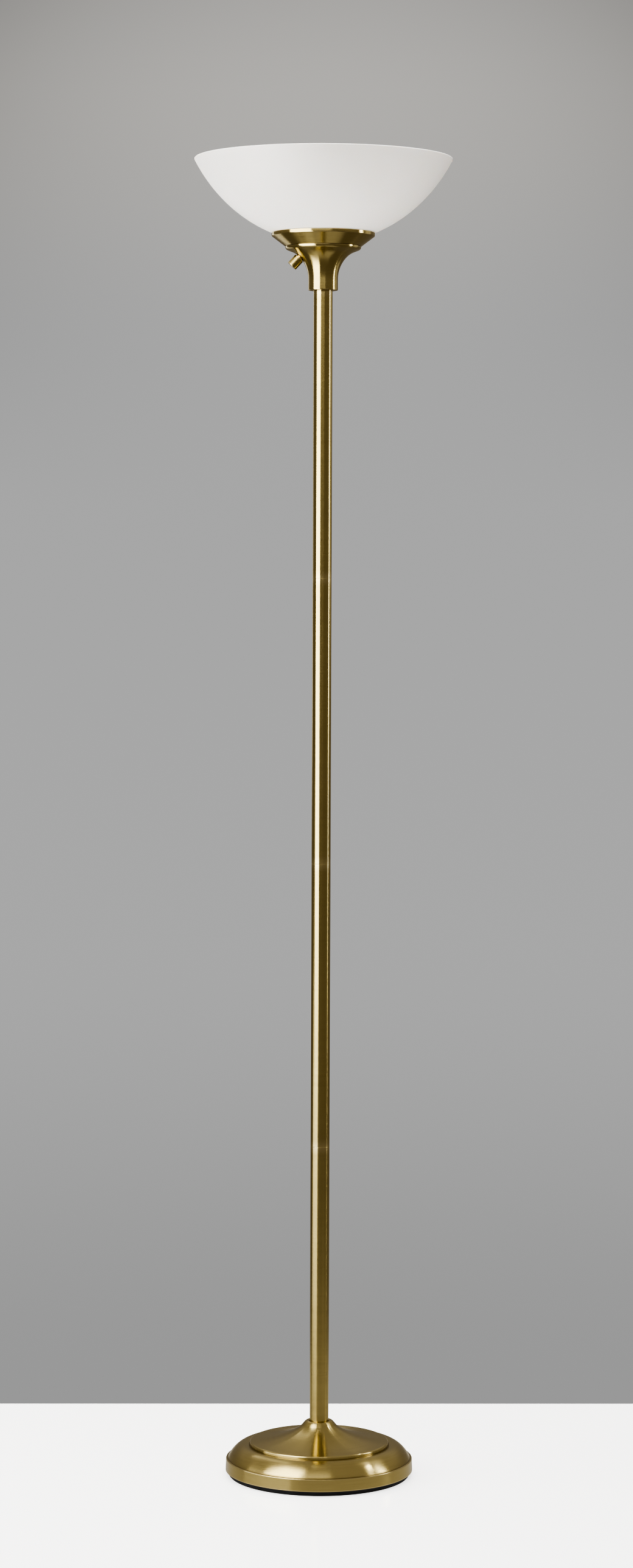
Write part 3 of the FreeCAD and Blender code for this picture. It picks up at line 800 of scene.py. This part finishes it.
def shade_cup(material):
    """Spun cup: neck, flare, bead band, cone and rolled rim."""
    turn = 1.25
    neck_top = POLE_TOP + 15.6
    flare_top = POLE_TOP + 52.1
    band_bottom = POLE_TOP + 54.6
    band_top = POLE_TOP + 59.3
    cone_top = POLE_TOP + 73.2
    groove_foot = (BAND_RADIUS - 0.45, band_top)
    stretches = [
        [(CUP_HOLE, POLE_TOP), (NECK_RADIUS - turn, POLE_TOP)],
        [(NECK_RADIUS - turn, POLE_TOP), (NECK_RADIUS, POLE_TOP), (NECK_RADIUS, POLE_TOP + turn)],
        [(NECK_RADIUS, POLE_TOP + turn), (NECK_RADIUS, neck_top)],
        [(NECK_RADIUS, neck_top), (NECK_RADIUS, neck_top + 17.0), (30.8, flare_top - 4.2),
         (FLARE_RADIUS, flare_top)],
        [(FLARE_RADIUS, flare_top), (BAND_RADIUS - 2.6, band_bottom)],
        [(BAND_RADIUS - 2.6, band_bottom), (BAND_RADIUS + 0.1, band_bottom + 1.3),
         (BAND_RADIUS + 0.05, band_top - 0.35)],
        [(BAND_RADIUS + 0.05, band_top - 0.35), groove_foot],
        [groove_foot, (BAND_RADIUS + 0.45, band_top + 0.25)],
        [(BAND_RADIUS + 0.45, band_top + 0.25), (CUP_RADIUS - 0.7, cone_top - 0.5)],
        [(CUP_RADIUS - 0.7, cone_top - 0.5), (CUP_RADIUS, cone_top), (CUP_RADIUS, cone_top + 0.9)],
        [(CUP_RADIUS, cone_top + 0.9), (CUP_RADIUS, CUP_RIM - 0.75)],
        [(CUP_RADIUS, CUP_RIM - 0.75), (CUP_RADIUS, CUP_RIM), (CUP_RADIUS - 0.65, CUP_RIM)],
        [(CUP_RADIUS - 0.65, CUP_RIM), (CUP_RADIUS - 0.65, CUP_RIM - CUP_WALL)],
        [(CUP_RADIUS - 0.65, CUP_RIM - CUP_WALL), (CUP_RADIUS - CUP_WALL, CUP_RIM - 2.0)],
        [(CUP_RADIUS - CUP_WALL, CUP_RIM - 2.0), (CUP_RADIUS - CUP_WALL, cone_top + 1.1)],
        [(CUP_RADIUS - CUP_WALL, cone_top + 1.1), (BAND_RADIUS - 0.9, band_top + 0.9)],
        [(BAND_RADIUS - 0.9, band_top + 0.9), (BAND_RADIUS - 0.95, band_bottom + 1.9)],
        [(BAND_RADIUS - 0.95, band_bottom + 1.9), (42.3, flare_top + 0.85)],
        [(42.3, flare_top + 0.85), (30.1, flare_top - 3.6), (NECK_RADIUS - CUP_WALL, neck_top + 17.0),
         (NECK_RADIUS - CUP_WALL, neck_top)],
        [(NECK_RADIUS - CUP_WALL, neck_top), (NECK_RADIUS - CUP_WALL, POLE_TOP + CUP_WALL)],
        [(NECK_RADIUS - CUP_WALL, POLE_TOP + CUP_WALL), (CUP_HOLE, POLE_TOP + CUP_WALL)],
        [(CUP_HOLE, POLE_TOP + CUP_WALL), (CUP_HOLE, POLE_TOP)],
    ]
    piece = turned("spun_cup", outline(stretches, 1.0, 0.15), 256)
    finish_piece(piece, "root", ["shade_cup"], material)


def bowl_wall(half_width, half_height, rim):
    """One face of the glass, as points along an ellipse from the hole in its foot to the rim."""
    start = math.asin(BOWL_HOLE / half_width)
    end = math.acos((BOWL_CENTRE - rim) / half_height)
    placed = []
    for step in range(BOWL_STEPS + 1):
        angle = start + (end - start) * step / BOWL_STEPS
        placed.append(Vector((half_width * math.sin(angle),
                              BOWL_CENTRE - half_height * math.cos(angle))))
    return placed


def glass_bowl(material):
    """Opal bowl with a fire-polished rim, which is a curve from one face over to the other."""
    outside = bowl_wall(BOWL_HALF_WIDTH, BOWL_HALF_HEIGHT, BOWL_RIM - RIM_OUTER_DEPTH)
    inside = bowl_wall(BOWL_HALF_WIDTH - BOWL_WALL, BOWL_HALF_HEIGHT - BOWL_WALL,
                       BOWL_RIM - RIM_INNER_DEPTH)
    outer_tip = outside[-1] + (outside[-1] - outside[-2]).normalized() * RIM_OUTER_PULL
    inner_tip = inside[-1] + (inside[-1] - inside[-2]).normalized() * RIM_INNER_PULL
    outer_tip.y = min(outer_tip.y, BOWL_RIM + RIM_HEADROOM)
    inner_tip.y = outer_tip.y
    rim = bezier([outside[-1], outer_tip, inner_tip, inside[-1]], RIM_STEPS)
    highest = max(point.y for point in rim)
    for point in rim:
        point.y += (BOWL_RIM - highest) * (point.y - outside[-1].y) / (highest - outside[-1].y)
    points = outside + rim[1:-1] + list(reversed(inside))
    piece = turned("opal_bowl", points, 288)
    finish_piece(piece, "root", ["glass_bowl"], material)


def knob(material):
    """Turned knob, built round the Z axis and laid on the spindle's line."""
    corners = [(0, KNOB_BORE_END), (KNOB_BORE, KNOB_BORE_END), (KNOB_BORE, KNOB_RECESS),
               (KNOB_LIP, KNOB_RECESS), (KNOB_LIP, KNOB_INNER_END), (KNOB_RADIUS, KNOB_INNER_END),
               (KNOB_RADIUS, KNOB_OUTER_END), (KNOB_FACE, KNOB_OUTER_END), (0, KNOB_OUTER_END)]
    stretches = [list(pair) for pair in zip(corners, corners[1:])]
    piece = turned("turned_knob", outline(stretches, 1.2, 0.45), 96)
    axis = Vector(KNOB_JOINT["axis"])
    turn = axis.to_track_quat("Z", "Y").to_matrix().to_4x4()
    piece.matrix_world = Matrix.Translation(KNOB_JOINT["pos_m"]) @ turn
    finish_piece(piece, "switch_knob", ["knob"], material)


make_camera()
make_world()
make_floor()
light_studio()
bpy.context.scene.view_settings.look = "AgX - Very High Contrast"

materials = make_materials()
paint_nodes(materials)
brass = materials["antique_brass"]
base_cover(brass)
pole_tubes(brass)
shade_cup(brass)
knob(brass)
glass_bowl(materials["opal_glass"])
foot_ring(materials["black_rubber"])
